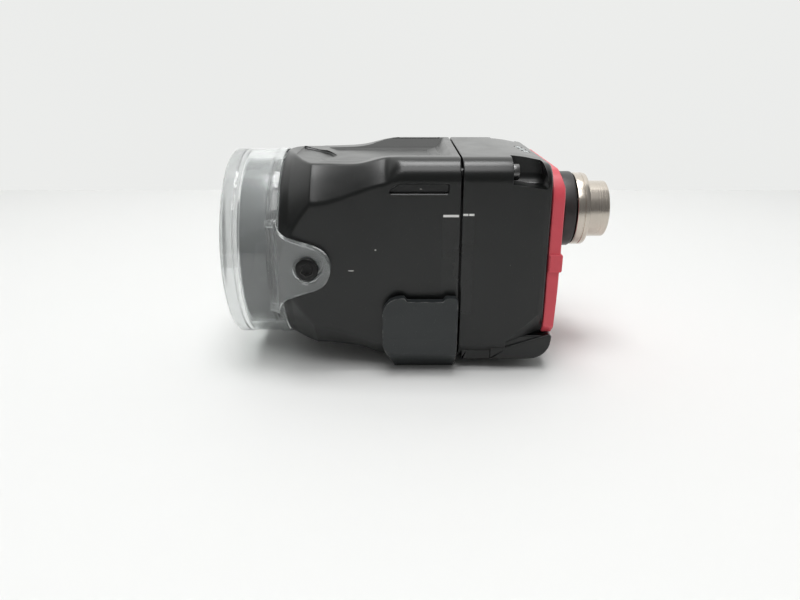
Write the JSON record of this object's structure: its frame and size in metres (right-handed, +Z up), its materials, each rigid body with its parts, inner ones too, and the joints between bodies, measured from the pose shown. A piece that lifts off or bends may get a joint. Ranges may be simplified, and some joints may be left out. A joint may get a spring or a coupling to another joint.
{
  "type": "machine vision camera",
  "caption": "Compact machine vision camera with a round clear front cover, sculpted black housing, red rear cover, round plug socket and saddle shoe.",
  "frame": {"origin": "on the flat base of the mounting shoe, under the lens axis", "axes": "+X along the lens axis towards the plug socket, -X the way the lens looks, +Z up from the shoe, +Y to the side away from the pictured one"},
  "size_m": [0.0988, 0.056, 0.0538],
  "materials": {
    "clear_cover": "clear moulded plastic, polished",
    "body_paint": "die-cast, satin black paint",
    "rear_body_paint": "die-cast, satin black paint",
    "screw_black": "black oxide",
    "screw_steel": "plain, satin",
    "seal_rubber": "matt",
    "red_plastic": "moulded, satin red",
    "base_plastic": "moulded, satin black",
    "nickel": "nickel-plated, satin turned",
    "insert_plastic": "moulded, matt black",
    "shoe_paint": "formed sheet, satin black coat",
    "lens_black": "black anodised",
    "lens_glass": "coated optical glass",
    "shroud_grey": "moulded, satin grey",
    "board_green": "solder mask",
    "light_white": "white package",
    "chip_black": "moulded",
    "post_brass": "turned",
    "window_plastic": "translucent"
  },
  "bodies": {
    "root": {"front_cover": "clear_cover", "front_housing": "body_paint", "rear_housing": "rear_body_paint", "rear_cover": "red_plastic", "socket_base": "base_plastic", "socket_shell": "nickel", "socket_insert": "insert_plastic", "socket_nut": "base_plastic", "mounting_shoe": "shoe_paint", "cover_screw_near": "screw_black", "cover_screw_far": "screw_black", "body_screw_1": "screw_steel", "body_screw_2": "screw_steel", "body_screw_3": "screw_steel", "body_screw_4": "screw_steel", "shoe_screw_1": "screw_black", "shoe_screw_2": "screw_black", "cover_seal": "seal_rubber", "body_seal": "seal_rubber", "status_window_1": "window_plastic", "status_window_2": "window_plastic", "status_window_3": "window_plastic", "lens_barrel": "lens_black", "front_lens": "lens_glass", "rear_lens": "lens_glass", "lens_lock_ring": "lens_black", "lens_holder": "lens_black", "light_shroud": "shroud_grey", "light_board": "board_green", "sensor_board": "board_green", "main_board": "board_green", "power_board": "board_green", "image_sensor": "chip_black", "processor": "chip_black", "power_coil": "chip_black", "light_1": "light_white", "light_2": "light_white", "light_3": "light_white", "light_4": "light_white", "light_5": "light_white", "light_6": "light_white", "light_7": "light_white", "light_8": "light_white", "front_post_1": "post_brass", "front_post_2": "post_brass", "front_post_3": "post_brass", "front_post_4": "post_brass", "middle_post_1": "post_brass", "middle_post_2": "post_brass", "middle_post_3": "post_brass", "middle_post_4": "post_brass", "rear_post_1": "post_brass", "rear_post_2": "post_brass", "rear_post_3": "post_brass", "rear_post_4": "post_brass"}
  },
  "joints": []
}
